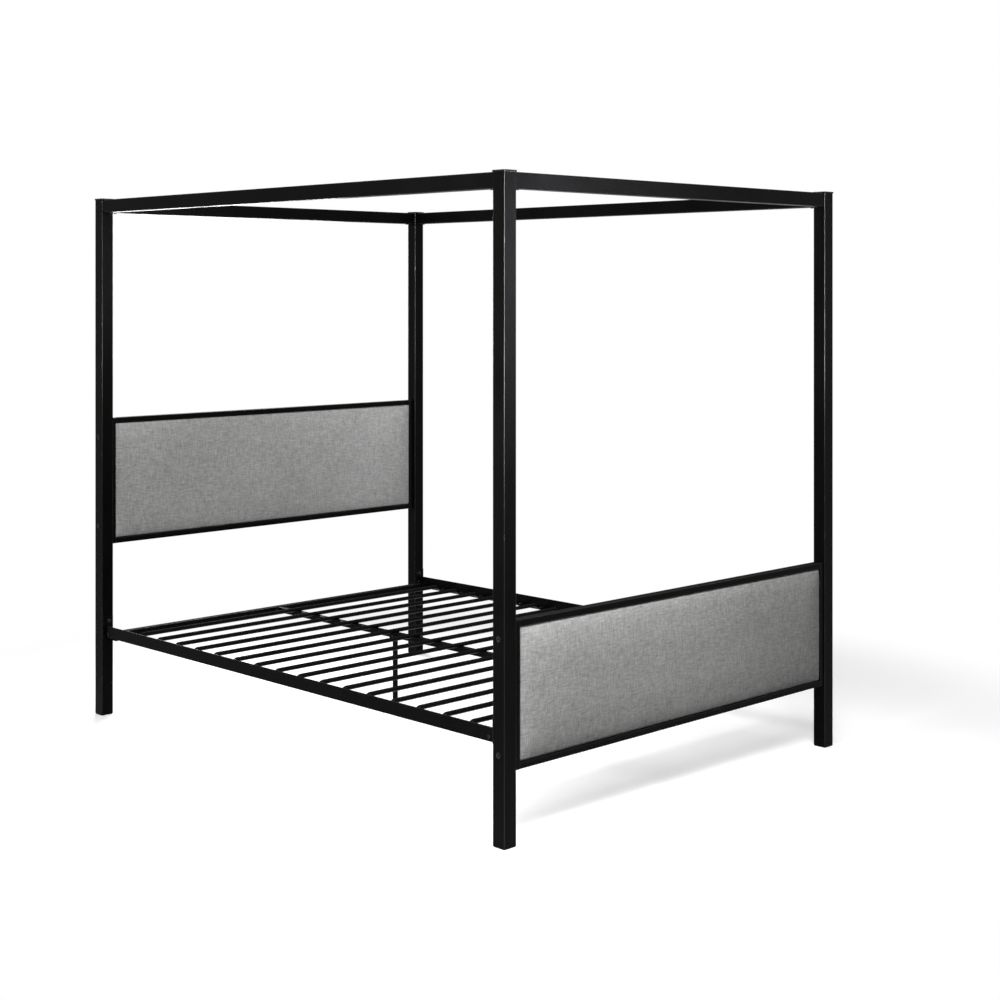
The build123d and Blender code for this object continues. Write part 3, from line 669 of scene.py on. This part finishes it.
def make_staples(panel, low, high, board_back):
    """Wire staples along the sheet's edges, bent over at both ends."""
    spots = []
    for z in (low.z + STAPLE_INSET, high.z - STAPLE_INSET):
        count = round((high.x - low.x) / STAPLE_PITCH)
        for step in range(count):
            x = low.x + (high.x - low.x) * (step + 0.5) / count
            stray = STAPLE_STRAY * noise.noise((x * 40.0, z, 2.0))
            spots.append((x + stray, z, STAPLE_TILT * noise.noise((x * 31.0, z, 7.0))))
    for x in (low.x + STAPLE_INSET, high.x - STAPLE_INSET):
        count = round((high.z - low.z) / STAPLE_PITCH)
        for step in range(count):
            z = low.z + (high.z - low.z) * (step + 0.5) / count
            spots.append((x, z, 0.5 * math.pi + STAPLE_TILT * noise.noise((x, z * 31.0, 7.0))))
    points = []
    faces = []
    for x, z, turn in spots:
        first = len(points)
        for along, out in STAPLE_OUTLINE:
            run = along * STAPLE_WIDTH
            for across in (-0.5 * STAPLE_WIRE, 0.5 * STAPLE_WIRE):
                points.append((
                    x + run * math.cos(turn) - across * math.sin(turn),
                    board_back + SHEET_LIFT + out,
                    z + run * math.sin(turn) + across * math.cos(turn)))
        for step in range(len(STAPLE_OUTLINE) - 1):
            a = first + 2 * step
            faces.append((a, a + 1, a + 3, a + 2))
    staples = new_piece(f"{panel}_staples", points, faces, staple_wire)
    wire = staples.modifiers.new("wire", "SOLIDIFY")
    wire.thickness = STAPLE_WIRE_DEPTH
    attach(staples, "root")


# Stage: floor, world, lights and camera

def seen_share(nodes):
    """1 where the floor or backdrop is seen, also as a reflection, and 0 where it only lights the bed."""
    path = nodes.add("ShaderNodeLightPath").outputs
    seen = nodes.sum("ADD", path["Is Camera Ray"], path["Is Glossy Ray"])
    return nodes.sum("ADD", seen, path["Is Transmission Ray"], clamp=True)


def make_floor():
    """Pale floor that keeps the bed's shadow and fades to the white backdrop away from it."""
    material, nodes, shader = finish_of("pale_studio_floor")
    seen = seen_share(nodes)
    place = nodes.add("ShaderNodeNewGeometry").outputs["Position"]
    far = nodes.add("ShaderNodeVectorMath", operation="LENGTH")
    nodes.put(far.inputs[0], place)
    fade = nodes.span(far.outputs["Value"], FLOOR_FADE_START, FLOOR_FADE_END, smooth=True)
    open_floor = nodes.sum("MULTIPLY", fade, seen)
    pale = nodes.mix(seen, colour(0.14, 0.14, 0.14), colour(0.90, 0.90, 0.90))
    nodes.put(shader.inputs["Base Color"], pale)
    shader.inputs["Roughness"].default_value = 0.9
    shader.inputs["Specular IOR Level"].default_value = 0.0
    glow = nodes.add("ShaderNodeEmission", {"Color": WHITE, "Strength": 1.0})
    lift = nodes.add("ShaderNodeEmission", {"Color": WHITE})
    nodes.put(lift.inputs["Strength"], nodes.sum("MULTIPLY", seen, FLOOR_LIFT))
    lit = nodes.add("ShaderNodeAddShader")
    nodes.put(lit.inputs[0], shader.outputs[0])
    nodes.put(lit.inputs[1], lift.outputs[0])
    blend = nodes.add("ShaderNodeMixShader")
    nodes.put(blend.inputs[0], open_floor)
    nodes.put(blend.inputs[1], lit.outputs[0])
    nodes.put(blend.inputs[2], glow.outputs[0])
    nodes.put(material.node_tree.nodes["Material Output"].inputs["Surface"], blend.outputs[0])
    corners = [(x * FLOOR_REACH, y * FLOOR_REACH, 0.0) for x, y in ((-1, -1), (1, -1), (1, 1), (-1, 1))]
    floor = new_piece("studio_floor", corners, [(0, 1, 2, 3)], material, smooth=False)


def make_world():
    """White backdrop that gives the bed much less light than it shows."""
    world = bpy.data.worlds.new("studio")
    world.use_nodes = True
    scene.world = world
    nodes = Nodes(world.node_tree)
    seen = seen_share(nodes)
    backdrop = world.node_tree.nodes["Background"]
    backdrop.inputs["Color"].default_value = WHITE
    nodes.put(backdrop.inputs["Strength"], nodes.span(seen, 0.0, 1.0, WORLD_FILL, 1.0))


def add_softbox(name, place, aim, size, watts, tint=(1.0, 1.0, 1.0), beam=180.0):
    """A rectangular lamp aimed at a point, its beam in degrees."""
    lamp = bpy.data.lights.new(name, "AREA")
    lamp.shape = "RECTANGLE"
    lamp.size, lamp.size_y = size
    lamp.energy = watts
    lamp.color = tint
    lamp.spread = math.radians(beam)
    box = bpy.data.objects.new(name, lamp)
    box.location = place
    box.rotation_euler = (Vector(aim) - Vector(place)).to_track_quat("-Z", "Y").to_euler()
    box.visible_camera = False
    scene.collection.objects.link(box)


def add_lights():
    """Lamps for the panels, then narrow beams for the posts' rounded corners and front faces."""
    add_softbox("front_softbox", place=(-0.42, -1.95, 2.2), aim=(-0.10, -1.06, 0.47), size=(0.8, 0.8),
                watts=17.6, beam=110.0)
    add_softbox("side_softbox", place=(-1.55, -1.45, 1.15), aim=(-0.6, -1.06, 0.45), size=(0.5, 0.6),
                watts=19.5)
    add_softbox("overhead_softbox", place=(-1.00, -0.70, 2.60), aim=(-0.35, 1.03, 0.80), size=(1.5, 1.2),
                watts=48.0)
    add_softbox("back_softbox", place=(0.9, 2.7, 1.6), aim=(-0.1, 1.06, 0.75), size=(1.2, 1.0),
                watts=30.0, beam=90.0)
    add_softbox("near_strip_softbox", place=(-2.30, -2.90, 1.75), aim=(-0.75, -1.06, 1.66), size=(0.5, 1.4),
                watts=6.5, beam=24.0)
    add_softbox("right_strip_softbox", place=(-2.35, -3.00, 1.75), aim=(0.75, -1.06, 1.88), size=(0.5, 1.4),
                watts=4.2, beam=14.0)
    add_softbox("far_strip_softbox", place=(-2.25, -3.00, 1.75), aim=(-0.77, 1.03, 1.88), size=(0.5, 1.4),
                watts=1.6, beam=10.0)
    add_softbox("near_face_softbox", place=(1.70, -3.65, 1.85), aim=(-0.80, -1.05, 1.48), size=(0.9, 0.7),
                watts=1.5, tint=BLUISH, beam=14.0)
    add_softbox("far_face_softbox", place=(1.75, -3.70, 1.85), aim=(-0.75, 1.02, 1.72), size=(0.9, 0.7),
                watts=0.5, tint=BLUISH, beam=8.0)


def add_camera():
    """The photograph's camera, with its axis above the picture's middle row."""
    lens = bpy.data.cameras.new("photograph_angle")
    lens.sensor_width = SENSOR_WIDTH
    lens.lens = FOCAL_PIXELS * SENSOR_WIDTH / PICTURE_WIDTH
    lens.shift_y = -(0.5 * PICTURE_WIDTH - LENS_AXIS_ROW) / PICTURE_WIDTH
    lens.clip_end = CAMERA_REACH
    camera = bpy.data.objects.new("photograph_angle", lens)
    camera.location = CAMERA_PLACE
    camera.rotation_euler = (0.5 * math.pi, 0.0, -CAMERA_YAW)
    scene.collection.objects.link(camera)
    scene.camera = camera


dress_parts()
make_pad("footboard", seed=1.0)
make_pad("headboard", seed=20.0)
make_slats()
sheets = [make_dust_sheet("footboard", seed=3.0), make_dust_sheet("headboard", seed=12.0)]
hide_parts("dust_covers")

make_floor()
make_world()
add_lights()
add_camera()
scene.view_settings.view_transform = "Standard"
